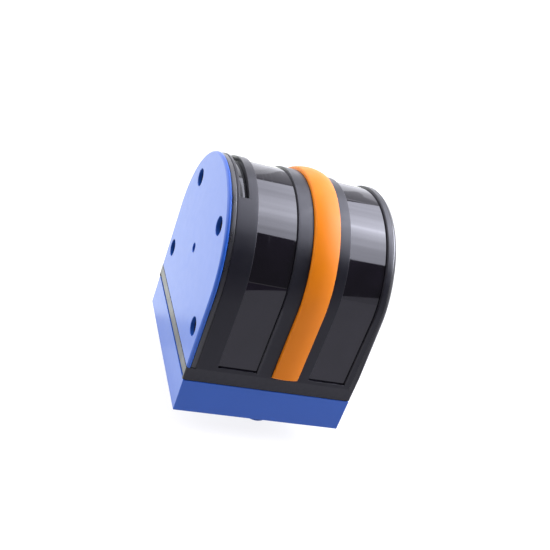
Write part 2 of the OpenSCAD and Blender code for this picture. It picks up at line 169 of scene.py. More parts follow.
    # bump: fine grain
    if grain_s:
        g = N.new("ShaderNodeTexNoise")
        g.inputs["Scale"].default_value = grain
        g.inputs["Detail"].default_value = 2.0
        if brushed is not None:
            mp2 = N.new("ShaderNodeMapping")
            mp2.inputs["Scale"].default_value = brushed
            L.new(tc.outputs["Object"], mp2.inputs["Vector"])
            L.new(mp2.outputs["Vector"], g.inputs["Vector"])
            g.inputs["Scale"].default_value = 1.0
        else:
            L.new(tc.outputs["Object"], g.inputs["Vector"])
        bp = N.new("ShaderNodeBump")
        bp.inputs["Strength"].default_value = grain_s
        bp.inputs["Distance"].default_value = grain_d
        L.new(g.outputs["Fac"], bp.inputs["Height"])
        L.new(bp.outputs["Normal"], b.inputs["Normal"])
    return m


M = {}
M["black_satin_plastic"] = material("black_satin_plastic", (0.0052, 0.005, 0.0085), 0.33, spec=0.34, grain=2400, grain_d=0.00001, grain_s=0.5, var=0.12,
                                    rvar=0.05, scratch=0.1, wear=0.25, wear_color=(0.05, 0.05, 0.055), speck=0.1)
M["blue_plastic"] = material("blue_plastic", (0.0122, 0.071, 0.335), 0.33, spec=0.42, grain=2200, grain_d=0.000005, grain_s=0.3, var=0.015, rvar=0.015,
                             scratch=0.01, speck=0.06)
M["grey_rubber"] = material("grey_rubber", (0.0115, 0.0115, 0.014), 0.32, spec=0.72, grain=1500, grain_d=0.00002, grain_s=0.6, var=0.15, rvar=0.08)
M["black_gloss_plastic"] = material("black_gloss_plastic", (0.005, 0.0047, 0.006), 0.2, spec=0.46, grain=2000, grain_d=0.000006, grain_s=0.35, var=0.12,
                                    rvar=0.05, scratch=0.1, wear=0.2, wear_color=(0.05, 0.05, 0.055))
M["infrared_window"] = material("infrared_window", (0.0045, 0.0035, 0.006), 0.045, grain=160, grain_d=0.00004, grain_s=0.05, var=0.3,
                                rvar=0.02, scratch=0.16, ior=1.52)
M["orange_plastic"] = material("orange_plastic", (0.565, 0.155, 0.0035), 0.42, spec=0.15, grain=1800, grain_d=0.00001, grain_s=0.35, var=0.03, rvar=0.05,
                               scratch=0.08, subsurface=0.06, wear=0.12, wear_color=(0.8, 0.3, 0.06), speck=0.05)
M["smoked_light_pipe"] = material("smoked_light_pipe", (0.02, 0.021, 0.024), 0.07, grain=400, grain_d=0.00002, grain_s=0.1, rvar=0.03, scratch=0.1)
M["black_rubber"] = material("black_rubber", (0.012, 0.012, 0.012), 0.7, grain=1200, grain_d=0.00002, grain_s=0.6, rvar=0.08)
M["zinc_steel"] = material("zinc_steel", (0.55, 0.55, 0.52), 0.3, metallic=1.0, grain=900, grain_d=0.00001, grain_s=0.3, rvar=0.1, scratch=0.15)
M["black_steel"] = material("black_steel", (0.03, 0.03, 0.032), 0.38, metallic=0.7, grain=1400, grain_d=0.00001, grain_s=0.3, rvar=0.1,
                            wear=0.5, wear_color=(0.3, 0.3, 0.3))
M["brass_insert"] = material("brass_insert", (0.72, 0.5, 0.2), 0.28, metallic=1.0, grain=900, grain_d=0.00001, grain_s=0.3, rvar=0.1,
                             brushed=(300.0, 3500.0, 3500.0))
M["contact_black"] = material("contact_black", (0.018, 0.018, 0.019), 0.5, grain=1800, grain_d=0.00001, grain_s=0.5, rvar=0.08)
M["gold_contact"] = material("gold_contact", (0.95, 0.68, 0.26), 0.18, metallic=1.0, grain=2000, grain_d=0.000004, grain_s=0.2, rvar=0.06)
M["green_board"] = material("green_board", (0.012, 0.15, 0.05), 0.28, coat=0.3, grain=700, grain_d=0.00002, grain_s=0.5, var=0.2, var_scale=500, rvar=0.08)
M["chip_black"] = material("chip_black", (0.016, 0.016, 0.017), 0.55, grain=2500, grain_d=0.00001, grain_s=0.6, rvar=0.08)
M["cream_plastic"] = material("cream_plastic", (0.72, 0.66, 0.52), 0.45, grain=1800, grain_d=0.00001, grain_s=0.4)
M["die_cast_aluminium"] = material("die_cast_aluminium", (0.52, 0.53, 0.54), 0.48, metallic=1.0, grain=1100, grain_d=0.00003, grain_s=0.6, rvar=0.1)
M["turned_aluminium"] = material("turned_aluminium", (0.7, 0.71, 0.73), 0.24, metallic=1.0, grain_d=0.00001, grain_s=0.3, rvar=0.06, brushed=(4500.0, 200.0, 200.0))
M["laminated_steel"] = material("laminated_steel", (0.3, 0.3, 0.32), 0.4, metallic=1.0, grain_d=0.00003, grain_s=0.6, brushed=(2800.0, 60.0, 60.0))
M["copper_wire"] = material("copper_wire", (0.62, 0.22, 0.08), 0.25, metallic=1.0, coat=0.4, grain_d=0.00008, grain_s=0.9, brushed=(60.0, 60.0, 2600.0))
M["bearing_steel"] = material("bearing_steel", (0.7, 0.7, 0.72), 0.14, metallic=1.0, grain_d=0.000006, grain_s=0.3, brushed=(5000.0, 100.0, 100.0))
M["turned_steel"] = material("turned_steel", (0.5, 0.5, 0.52), 0.27, metallic=1.0, grain_d=0.00001, grain_s=0.35, brushed=(4200.0, 150.0, 150.0))
M["magnet_grey"] = material("magnet_grey", (0.22, 0.22, 0.23), 0.35, metallic=0.8, grain=1300, grain_d=0.00001, grain_s=0.4)
M["dark_steel"] = material("dark_steel", (0.06, 0.06, 0.065), 0.35, metallic=0.8, grain=2000, grain_d=0.000008, grain_s=0.4)
M["coated_lens"] = material("coated_lens", (0.75, 0.6, 0.85), 0.03, ior=1.58, grain=200, grain_d=0.000002, grain_s=0.05, rvar=0.01, transmission=0.9)
M["polyimide_flex"] = material("polyimide_flex", (0.5, 0.2, 0.03), 0.25, coat=0.2, grain_d=0.00001, grain_s=0.4, brushed=(100.0, 1400.0, 100.0))
M["mirror_glass"] = material("mirror_glass", (0.9, 0.91, 0.93), 0.02, metallic=1.0, grain=300, grain_d=0.000002, grain_s=0.05, rvar=0.01)

record = frame["record"]
for sp in record["subparts"]:
    node = frame["nodes"].get(sp["node"])
    if node is None:
        continue
    mat = M[sp["material_slot"]]
    if not node.material_slots:
        node.data.materials.append(mat)
    for s in node.material_slots:
        s.material = mat


# ------------------------------------------------------------------ mesh helpers
def finish_mesh(name, bm, slot, replaces=(), body=BODY, sharp=38.0, weighted=True):
    bmesh.ops.remove_doubles(bm, verts=bm.verts, dist=2.5e-6)
    bmesh.ops.dissolve_degenerate(bm, dist=1e-7, edges=bm.edges)
    loose = [v for v in bm.verts if not v.link_faces]
    bmesh.ops.delete(bm, geom=loose, context="VERTS")
    bmesh.ops.recalc_face_normals(bm, faces=bm.faces)
    lim = math.radians(sharp)
    for f in bm.faces:
        f.smooth = len(f.verts) != 3 or max(abs(f.normal.x), abs(f.normal.z)) <= 0.99999
    for e in bm.edges:
        if len(e.link_faces) != 2:
            continue
        ang = e.calc_face_angle(0.0)
        # a large filled face keeps its flat normal right up to its border
        flat = [len(f.verts) == 3 and max(abs(f.normal.x), abs(f.normal.z)) > 0.99999 for f in e.link_faces]
        if ang > lim or (flat[0] != flat[1] and ang > 0.03):
            e.smooth = False
    me = bpy.data.meshes.new(name)
    open_edges = sum(1 for e in bm.edges if len(e.link_faces) != 2)
    bm.to_mesh(me)
    bm.free()
    o = bpy.data.objects.new(name, me)
    bpy.context.scene.collection.objects.link(o)
    me.materials.append(M[slot])
    if weighted:
        w = o.modifiers.new("weighted", "WEIGHTED_NORMAL")
        w.keep_sharp = True
        w.weight = 60
    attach(o, body)
    if replaces:
        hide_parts(*replaces)
    print("mesh", name, "verts", len(me.vertices), "faces", len(me.polygons), "open edges", open_edges)
    return o


def v3(bm, x, y, z):
    return bm.verts.new((x * MM, y * MM, z * MM))


def face(bm, vs):
    u = []
    for v in vs:
        if v not in u:
            u.append(v)
    if len(u) < 3:
        return
    try:
        bm.faces.new(u)
    except ValueError:
        pass


def step(edge, depth, fo, fi, d, n=3):
    """(coordinate, depth fraction) pairs across a recess edge with a rounded lip and a small inner fillet; d is the way in."""
    out = []
    for k in range(n + 1):
        t = math.pi / 2 * k / n
        out.append((edge - d * fo * (1 - math.sin(t)), fo * (1 - math.cos(t)) / depth))
    for k in range(n + 1):
        t = math.pi / 2 * k / n
        out.append((edge + d * fi * (1 - math.cos(t)), (depth - fi + fi * math.sin(t)) / depth))
    return out


def row_pos(row, h):
    """Point (y, z) of a row of the arch, h millimetres under the R = 40 surface."""
    k, v = row[0], row[1]
    r = R - h
    if k == "F":
        return -r, v
    if k == "B":
        return r, v
    a = math.radians(v)
    return -r * math.cos(a), r * math.sin(a)


def arch_rows(z_list, n_arc=120, a0=0.0, a1=180.0):
    """Rows from the foot of the front leg over the arch to the foot of the rear leg. z_list: (z, data) from low to high."""
    rows = [("F", z, d) for z, d in z_list]
    top = z_list[-1][1]
    for i in range(n_arc + 1):
        rows.append(("A", a0 + (a1 - a0) * i / n_arc, top))
    rows += [("B", z, d) for z, d in reversed(z_list)]
    return rows


def grid_solid(bm, cols, rows, outer, inner, hole=lambda i, j: False):
    """Closed solid between two surfaces over the same grid. outer and inner give the depth under R = 40 of a column and a row."""
    A = [[None] * len(rows) for _ in cols]
    B = [[None] * len(rows) for _ in cols]
    for i, c in enumerate(cols):
        for j, r in enumerate(rows):
            y, z = row_pos(r, outer(c, r))
            A[i][j] = v3(bm, c["x"], y, z)
            y, z = row_pos(r, inner(c, r))
            B[i][j] = v3(bm, c["x"], y, z)
    nI, nJ = len(cols), len(rows)
    for i in range(nI - 1):
        for j in range(nJ - 1):
            if hole(i, j):
                continue
            face(bm, (A[i][j], A[i + 1][j], A[i + 1][j + 1], A[i][j + 1]))
            face(bm, (B[i][j], B[i][j + 1], B[i + 1][j + 1], B[i + 1][j]))
    for j in range(nJ - 1):
        face(bm, (A[0][j], A[0][j + 1], B[0][j + 1], B[0][j]))
        face(bm, (A[-1][j], B[-1][j], B[-1][j + 1], A[-1][j + 1]))
    for i in range(nI - 1):
        face(bm, (A[i][0], B[i][0], B[i + 1][0], A[i + 1][0]))
        face(bm, (A[i][-1], A[i + 1][-1], B[i + 1][-1], B[i][-1]))


def merge(bm):
    bmesh.ops.remove_doubles(bm, verts=bm.verts, dist=2.5e-6)


def loop_faces(bm, a, b):
    n = len(a)
    for i in range(n):
        face(bm, (a[i], a[(i + 1) % n], b[(i + 1) % n], b[i]))


def circle_loop(bm, axis, c, pos, r, n=48):
    """Loop of a circle: axis X (centre y, z at x = pos) or Z (centre x, y at z = pos)."""
    out = []
    for k in range(n):
        a = 2 * math.pi * k / n
        if axis == "X":
            out.append(v3(bm, pos, c[0] + r * math.cos(a), c[1] + r * math.sin(a)))
        else:
            out.append(v3(bm, c[0] + r * math.cos(a), c[1] + r * math.sin(a), pos))
    return out


def strip_loops(bm, axis, c, prof, n=48):
    """A turned surface along (position, radius) pairs. Returns its first and last loops."""
    loops = [circle_loop(bm, axis, c, p, r, n) for p, r in prof]
    for a, b in zip(loops, loops[1:]):
        loop_faces(bm, a, b)
    return loops[0], loops[-1]


def fill(bm, loops):
    """Flat face between an outer loop and the holes in it."""
    edges = []
    for lp in loops:
        for i in range(len(lp)):
            a, b = lp[i], lp[(i + 1) % len(lp)]
            e = bm.edges.get((a, b)) or bm.edges.new((a, b))
            edges.append(e)
    bmesh.ops.triangle_fill(bm, use_beauty=True, use_dissolve=False, edges=edges)


# ------------------------------------------------------------------ housing shell
def end_round(leg_z, phi=0.0):
    """Rounding of the right-hand end: (length along X, depth) - large over the arch, small near the flange."""
    if leg_z is None:
        q = min(1.0, min(phi, 180.0 - phi) / 30.0)
        f = 2.35 + 0.9 * q
    else:
        f = max(0.42, 2.35 + 0.08 * leg_z)
    return 1.15 * f, 0.97 * f


def round_inset(x, row):
    ex, er = end_round(row[1]) if row[0] in "FB" else end_round(None, row[1])
    t = (x - (LEN - ex)) / ex
    if t <= 0:
        return 0.0
    t = min(1.0, t)
    return er * (1 - math.sqrt(max(0.0, 1 - t * t)))


def housing():
    D = 0.9
    cols = []

    def col(x, hb=0.0, L=0.0, Rw=0.0, G=0.0, S=0.0, reb=0.0):
        cols.append(dict(x=x, hb=hb, L=L, R=Rw, G=G, S=S, reb=reb))

    for k in range(4):
        t = math.pi / 2 * k / 3
        col(3.75 + 0.25 * (1 - math.cos(t)), hb=0.12 * (1 - math.sin(t)))
    for x, f in step(4.8, 4.4, 0.2, 0.0, 1):
        col(x, S=f)
    col(6.5, S=1.0)
    for x, f in reversed(step(8.3, 4.4, 0.2, 0.0, -1)):
        col(x, S=f)
    col(10.0)
    col(10.8)
    col(10.8, reb=1.0)
    for x, f in step(12.2, D, 0.2, 0.0, 1):
        col(x, L=f, reb=1.0)
    col(20.3, L=1.0, reb=1.0)
    for x, f in reversed(step(28.4, D, 0.2, 0.0, -1)):
        col(x, L=f, reb=1.0)
    col(29.8, reb=1.0)
    col(29.8)
    col(32.0)
    for x, f in step(34.9, 1.2, 0.2, 0.1, 1, 2):
        col(x, G=f)
    col(40.2, G=1.0)
    for x, f in reversed(step(45.6, 1.2, 0.2, 0.1, -1, 2)):
        col(x, G=f)
    col(48.0)
    col(49.2)
    col(49.2, reb=2.0)
    for x, f in step(50.6, D, 0.2, 0.0, 1):
        col(x, Rw=f, reb=2.0)
    col(58.7, Rw=1.0, reb=2.0)
    for x, f in reversed(step(66.8, D, 0.34, 0.0, -1)):
        col(x, Rw=f, reb=2.0)
    col(67.4, reb=2.0)
    col(67.4)
    for x in (67.8, 68.2, 68.6, 68.95, 69.15):
        col(x)
    col(69.22, hb=0.0)
    col(69.3, hb=0.08)

    def data(W=0.0, G=0.0, q=0.0):
        return dict(W=W, G=G, q=q)

    zs = [(Z_LEDGE, data()), (-30.6, data()), (-30.6, data(q=1.0))]
    band = [(z, data(G=f, q=1.0)) for z, f in step(-30.1, 1.2, 0.15, 0.1, 1, 2)]
    zs += band
    sill = [(z, data(W=f, G=1.0, q=1.0)) for z, f in step(Z_SILL, D, 0.2, 0.0, 1)]
    zs += sill
    top = data(W=1.0, G=1.0, q=1.0)
    for z in (-27, -24, -21, -18, -15, -12, -9, -6, -3):
        zs.append((float(z), top))
    # slot rows: angle 59 to 121 degrees
    rows = [("F", z, d) for z, d in zs]
    arc = []
    so = [(a, f) for a, f in step(59.0 * R * math.pi / 180, 4.4, 0.2, 0.0, 1)]
    a_list = [(float(a), 0.0) for a in np.linspace(0, 57.0, 39)]
    a_list += [(s / (R * math.pi / 180), f) for s, f in so]
    a_list += [(float(a), 1.0) for a in np.linspace(60.5, 119.5, 40)]
    a_list += [(180 - s / (R * math.pi / 180), f) for s, f in reversed(so)]
    a_list += [(float(a), 0.0) for a in np.linspace(123.0, 180.0, 39)]
    for a, f in a_list:
        d = dict(top)
        d["S"] = f
        rows.append(("A", a, d))
    rows += [("B", z, d) for z, d in reversed(zs)]

    def outer(c, r):
        d = r[2]
        h = c["hb"] + round_inset(c["x"], r)
        h += 4.4 * min(c["S"], d.get("S", 0.0))
        h += D * min(max(c["L"], c["R"]), d["W"])
        h += 1.2 * min(c["G"], d["G"])
        return min(h, 4.4)

    def inner(c, r):
        return D if (c["reb"] > 0 and r[2]["q"] > 0) else 4.4

    def hole(i, j):
        a, b = cols[i], cols[i + 1]
        p, q = rows[j][2], rows[j + 1][2]
        win = min(p["W"], q["W"]) >= 0.999 and (min(a["L"], b["L"]) >= 0.999 or min(a["R"], b["R"]) >= 0.999)
        slot = min(p.get("S", 0), q.get("S", 0)) >= 0.999 and min(a["S"], b["S"]) >= 0.999
        return win or slot

    bm = bmesh.new()
    grid_solid(bm, cols, rows, outer, inner, hole)
    merge(bm)

    # flange that the two end plates stand on: a frame with rounded upright edges
    def rect(z, ins, inner_frame=False, lift=0.0, cut=0.0):
        pts = []
        x0, x1, w = ins, LEN - ins, R - ins
        xe = max(2.2, x0 + 1.05)
        corners = [(x1, -w, -90, 0.5), (x1, w, 0, 0.5), (x0, w, 90, 0.5), (x0, -w, 180, 0.5)]
        for cx, cy, a0, rad in corners:
            rad = max(0.15, rad - ins) if not inner_frame else 1.0
            ox = cx - rad if cx > 30 else cx + rad
            oy = cy - rad if cy > 0 else cy + rad
            for k in range(7):
                a = math.radians(a0 + 90 * k / 6)
                pts.append((ox + rad * math.cos(a), oy + rad * math.sin(a), z + (lift if cx < 30 else 0.0)))
            if (cx, cy) == (x1, w):
                pts.append((xe, w, z))
            if (cx, cy) == (x0, w):
                u = min(38.95, w - 1.05)
                pts += [(x0, u, z + lift), (x0, u - 0.06, z + lift + cut), (x0, -u + 0.06, z + lift + cut), (x0, -u, z + lift)]
        pts.append((xe, -w, z))
        return [v3(bm, *p) for p in pts]

    # a groove along the left side, between the rounded corners: the dark line above the base cover
    seq = [rect(Z_HOUSE, 4.4, True), rect(Z_HOUSE, 1.3), rect(Z_HOUSE, 1.26, cut=1.5), rect(Z_HOUSE, 0.14, cut=1.5),
           rect(Z_HOUSE + 0.08, 0.03, cut=1.46), rect(Z_HOUSE + 0.2, 0.0, cut=1.4), rect(Z_LEDGE, 0.0), rect(Z_LEDGE, 4.4, True)]
    for a, b in zip(seq, seq[1:] + seq[:1]):
        loop_faces(bm, a, b)

    # left wall with the pockets in front of the threaded inserts
    wall_front = [v3(bm, X_NECK + 0.01, y, z) for y, z in d_outline(4.0, Z_LEDGE, 0.0, 48)]
    wall_back = [v3(bm, 6.2, y, z) for y, z in d_outline(4.0, Z_LEDGE, 0.0, 48)]
    loop_faces(bm, wall_front, wall_back)
    fl, bl = [wall_front], [wall_back]
    for (y, z) in HOLES:
        a, b = strip_loops(bm, "X", (y, z), [(X_NECK + 0.01, 3.75), (5.4, 3.75), (5.4, 3.5), (6.2, 3.5)])
        fl.append(a)
        bl.append(b)
        # ring that the mounting plate is drawn against
        a, b = strip_loops(bm, "X", (y, z), [(3.9, 3.8), (3.9, 5.5), (1.78, 5.5), (1.72, 5.42), (1.72, 3.82), (1.78, 3.755), (3.8, 3.755), (3.9, 3.8)])
    a, b = strip_loops(bm, "X", (0.0, 0.0), [(X_NECK + 0.01, 4.2), (6.2, 4.2)])
    fl.append(a)
    bl.append(b)
    fill(bm, fl)
    fill(bm, bl)
    return finish_mesh("housing_shell", bm, "black_satin_plastic", ["main_housing"])


def d_outline(ins, z_low, ins_bottom, n_arc=96, n_leg=8, leg_ins=None, n_bot=16):
    """Closed outline (y, z) of the D shape; leg_ins(z) may change the inset along the legs."""
    f = leg_ins or (lambda z: ins)
    zb = z_low + ins_bottom
    pts = [(-(R - f(zb)), zb)]
    zl = list(np.linspace(z_low + 2.5, 0.0, n_leg))
    pts += [(-(R - f(z)), z) for z in zl[:-1]]
    for i in range(n_arc + 1):
        a = math.pi * i / n_arc
        pts.append((-(R - f(0.0)) * math.cos(a), (R - f(0.0)) * math.sin(a)))
    pts += [((R - f(z)), z) for z in reversed(zl[:-1])]
    pts.append((R - f(zb), zb))
    w = R - f(zb)
    for i in range(1, n_bot):
        pts.append((w - 2 * w * i / n_bot, zb))
    return pts


def ring_loops(bm, rings):
    """rings: (x, outline points). Returns the loops."""
    loops = [[v3(bm, x, y, z) for y, z in pts] for x, pts in rings]
    for a, b in zip(loops, loops[1:]):
        loop_faces(bm, a, b)
    return loops


def mounting_plate():
    bm = bmesh.new()
    prof = [(0.0, 0.95), (0.03, 0.78), (0.12, 0.58), (0.3, 0.34), (0.52, 0.14), (0.75, 0.03), (0.95, 0.0), (1.3, 0.0), (1.42, 0.1), (1.7, 0.5)]
    low = [0.45, 0.36, 0.26, 0.14, 0.06, 0.02, 0.0, 0.0, 0.02, 0.05]
    loops = ring_loops(bm, [(x, d_outline(i, Z_LEDGE + 0.03, b)) for (x, i), b in zip(prof, low)])
    front, back = [loops[0]], [loops[-1]]
    for c in HOLES:
        a, b = strip_loops(bm, "X", c, [(0.0, 3.98), (0.03, 3.87), (0.1, 3.79), (0.22, 3.75), (1.62, 3.75), (1.7, 3.8)], 64)
        front.append(a)
        back.append(b)
    a, b = strip_loops(bm, "X", (0.0, 0.0), [(0.0, 2.18), (0.03, 2.1), (0.1, 2.03), (0.2, 2.0), (1.25, 2.0), (1.4, 1.85)], 48)
    front.append(a)
    face(bm, b)
    a, b = strip_loops(bm, "X", (0.0, 0.0), [(1.7, 4.0), (5.4, 4.0), (5.6, 3.8)], 48)
    back.append(a)
    face(bm, b)
    fill(bm, front)
    fill(bm, back)
    return finish_mesh("mounting_plate_visual", bm, "blue_plastic", ["mounting_plate"])


def end_cap():
    bm = bmesh.new()
    n = 9

    loops = []
    base = d_outline(0.0, Z_LEDGE + 0.03, 0.0)
    x_first = X_CAP
    outl = []
    for k in range(n + 3):
        loop = []
        if k == 0:
            for (y, z) in d_outline(0.12, Z_LEDGE + 0.03, 0.08):
                loop.append((x_first + 0.0, y, z))
        elif k == 1:
            for (y, z) in base:
                loop.append((x_first + 0.1, y, z))
        else:
            t = math.pi / 2 * (k - 2) / n
            t = t if k - 2 <= n else math.pi / 2
            for (y, z) in base:
                ex, er = end_round(z) if z < 0 else end_round(None, math.degrees(math.atan2(z, -y)))
                x = LEN - ex + ex * math.sin(t)
                ins = er * (1 - math.cos(t))
                if x < x_first + 0.1 + 0.02 * (k - 1):
                    x = x_first + 0.1 + 0.02 * (k - 1)
                    q = max(0.0, (x - (LEN - ex)) / ex)
                    ins = er * (1 - math.sqrt(max(0.0, 1 - q * q)))
                bot = abs(z - (Z_LEDGE + 0.03)) < 1e-6
                b_ins = 0.5 * (1 - math.cos(t))
                if z > 0:
                    rr = math.hypot(y, z)
                    s = (rr - ins) / rr
                    loop.append((x, y * s, z * s))
                else:
                    edge = abs(abs(y) - R) < 1e-6
                    yy = y - math.copysign(min(ins, abs(y)), y) if edge else y * (R - ins) / R
                    loop.append((x, yy, z + (b_ins if bot else 0.0)))
        outl.append(loop)
    for lp in outl:
        loops.append([v3(bm, *p) for p in lp])
    for a, b in zip(loops, loops[1:]):
        loop_faces(bm, a, b)
    back, front = [loops[0]], [loops[-1]]
    for c in HOLES:
        a, b = strip_loops(bm, "X", c, [(LEN, 3.36), (LEN - 0.05, 3.26), (LEN - 0.15, 3.2), (LEN - 1.3, 3.2), (LEN - 1.3, 1.7), (X_CAP, 1.7)], 48)
        front.append(a)
        back.append(b)
    fill(bm, front)
    fill(bm, back)
    return finish_mesh("end_cap_visual", bm, "black_gloss_plastic", ["end_cap"])


def window(name, x0, x1, node):
    bm = bmesh.new()
    xs = [x0, x0 + 0.15] + list(np.linspace(x0 + 0.6, x1 - 0.6, 9)) + [x1 - 0.15, x1]
    cols = [dict(x=x, hb=0.15 if k in (0, len(xs) - 1) else 0.0) for k, x in enumerate(xs)]
    zs = [(-30.6, dict()), (-30.3, dict())] + [(float(z), dict()) for z in np.linspace(-29, -2, 12)]
    rows = arch_rows(zs, 140)
    grid_solid(bm, cols, rows, lambda c, r: 0.91 + c["hb"], lambda c, r: 2.6)
    return finish_mesh(name, bm, "infrared_window", [node])


def accent_band():
    bm = bmesh.new()
    x0, x1 = 34.93, 45.57
    xc, hw = (x0 + x1) / 2, (x1 - x0) / 2

    def crown(x):
        u = abs(x - xc)
        base = 2.2 - (14.6 - math.sqrt(14.6 ** 2 - u * u))
        f = 0.36
        if u > hw - f:
            t = (u - (hw - f)) / f
            base -= f * (1 - math.sqrt(max(0.0, 1 - t * t)))
        return base

    us = [0.0, 0.25, 0.5, 0.68, 0.8, 0.88, 0.932, 0.955, 0.975, 0.99, 1.0]
    xs = [xc - hw * u for u in reversed(us)] + [xc + hw * u for u in us[1:]]
    cols = [dict(x=x0, w=0.0)] + [dict(x=x, w=1.0) for x in xs] + [dict(x=x1, w=0.0)]
    ends = [(-30.07, dict(E=0.0)), (-30.07, dict(E=0.52)), (-30.03, dict(E=0.56)), (-29.05, dict(E=0.97)), (-28.9, dict(E=0.995)), (-28.7, dict(E=1.0))]
    zs = ends + [(float(z), dict(E=1.0)) for z in np.linspace(-26, -2, 12)]
    rows = arch_rows(zs, 150)
    grid_solid(bm, cols, rows, lambda c, r: 1.2 - (1.2 + crown(c["x"])) * c["w"] * r[2]["E"], lambda c, r: 1.2)
    return finish_mesh("accent_band_visual", bm, "orange_plastic", ["accent_band"])


def light_pipe():
    bm = bmesh.new()
    xs = [4.84, 4.95, 5.3, 6.0, 6.55, 7.1, 7.8, 8.15, 8.26]
    hs = [0.16, 0.06, 0.03, 0.01, 0.0, 0.01, 0.03, 0.06, 0.16]
    cols = [dict(x=x, h=h) for x, h in zip(xs, hs)]
    rows = [("A", float(a), dict()) for a in np.linspace(59.1, 120.9, 64)]
    grid_solid(bm, cols, rows, lambda c, r: 2.02 + c["h"], lambda c, r: 4.7)
    return finish_mesh("status_light_pipe_visual", bm, "smoked_light_pipe", ["status_light_pipe"])


def gasket():
    bm = bmesh.new()
    xs = [1.72, 1.78, 1.9, 2.1, 2.4, 2.8, 3.3, 3.65, 3.74]
    hs = [0.9, 0.6, 0.42, 0.36, 0.33, 0.32, 0.31, 0.3, 0.33]
    cols = [dict(x=x, h=h) for x, h in zip(xs, hs)]
    zs = [(Z_LEDGE + 0.02, dict())] + [(float(z), dict()) for z in np.linspace(-29, -2, 8)]
    rows = arch_rows(zs, 120)
    grid_solid(bm, cols, rows, lambda c, r: c["h"], lambda c, r: 2.6)
    return finish_mesh("plate_gasket_visual", bm, "grey_rubber", ["plate_gasket"])


def base_cover():
    bm = bmesh.new()
    x_lo = 0.4

    def rect(z, ins, rad):
        pts = []
        x0, x1, w = x_lo + ins, LEN - ins, R - ins
        for cx, cy, a0 in [(x1, -w, -90), (x1, w, 0), (x0, w, 90), (x0, -w, 180)]:
            ox = cx - rad if cx > 30 else cx + rad
            oy = cy - rad if cy > 0 else cy + rad
            for k in range(9):
                a = math.radians(a0 + 90 * k / 8)
                pts.append((ox + rad * math.cos(a), oy + rad * math.sin(a)))
        return [v3(bm, x, y, z) for x, y in pts]

    f = 0.2
    seq = []
    for k in range(6):
        t = math.pi / 2 * k / 5
        ins = f * (1 - math.sin(t))
        seq.append(rect(Z_BOT + f * (1 - math.cos(t)), ins, max(0.2, 0.35 - ins)))
    seq += [rect(-44.0, 0.0, 0.35), rect(Z_SEAM - 0.2, 0.0, 0.35), rect(Z_SEAM - 0.06, 0.06, 0.3), rect(Z_SEAM, 0.2, 0.25),
            rect(Z_SEAM, 2.6, 1.0), rect(-48.3, 2.6, 1.0)]
    for a, b in zip(seq, seq[1:]):
        loop_faces(bm, a, b)
    bottom, floor = [seq[0]], [seq[-1]]
    for c in POSTS:
        a, b = strip_loops(bm, "Z", c, [(Z_BOT, 3.3), (Z_BOT + 0.06, 3.14), (Z_BOT + 0.2, 3.05), (-47.7, 3.05), (-47.7, 1.7), (Z_SEAM, 1.7), (Z_SEAM, 3.5), (-48.3, 3.5)])
        bottom.append(a)
        floor.append(b)
    for c in STAND:
        a, b = strip_loops(bm, "Z", c, [(-48.3, 3.0), (-44.95, 3.0), (-44.95, 1.0), (-49.3, 1.0)], 32)
        floor.append(a)
        face(bm, b)
    a, b = strip_loops(bm, "Z", CON, [(Z_BOT, 6.12), (Z_BOT + 0.1, 6.02), (-48.3, 6.02)], 72)
    bottom.append(a)
    floor.append(b)
    fill(bm, bottom)
    fill(bm, floor)
    return finish_mesh("base_cover_visual", bm, "blue_plastic", ["base_cover"])


def base_gasket():
    """Seal between the base cover and the flange, squeezed out a little along the joint."""
    bm = bmesh.new()

    def rect(z, ins):
        pts = []
        x0, x1, w, rad = 1.28 + ins, LEN - 0.35 - ins, R - 0.3 - ins, 0.3
        for cx, cy, a0 in [(x1, -w, -90), (x1, w, 0), (x0, w, 90), (x0, -w, 180)]:
            ox = cx - rad if cx > 30 else cx + rad
            oy = cy - rad if cy > 0 else cy + rad
            for k in range(7):
                a = math.radians(a0 + 15 * k)
                pts.append((ox + rad * math.cos(a), oy + rad * math.sin(a)))
        return [v3(bm, x, y, z) for x, y in pts]

    seq = [rect(Z_SEAM + 0.01, 2.4), rect(Z_SEAM + 0.01, 0.1), rect(Z_SEAM + 0.07, 0.02), rect(Z_SEAM + 0.2, 0.0), rect(Z_HOUSE - 0.07, 0.02),
           rect(Z_HOUSE - 0.01, 0.1), rect(Z_HOUSE - 0.01, 2.4)]
    for a, b in zip(seq, seq[1:] + seq[:1]):
        loop_faces(bm, a, b)
    return finish_mesh("base_gasket_visual", bm, "black_rubber", ["base_gasket"])


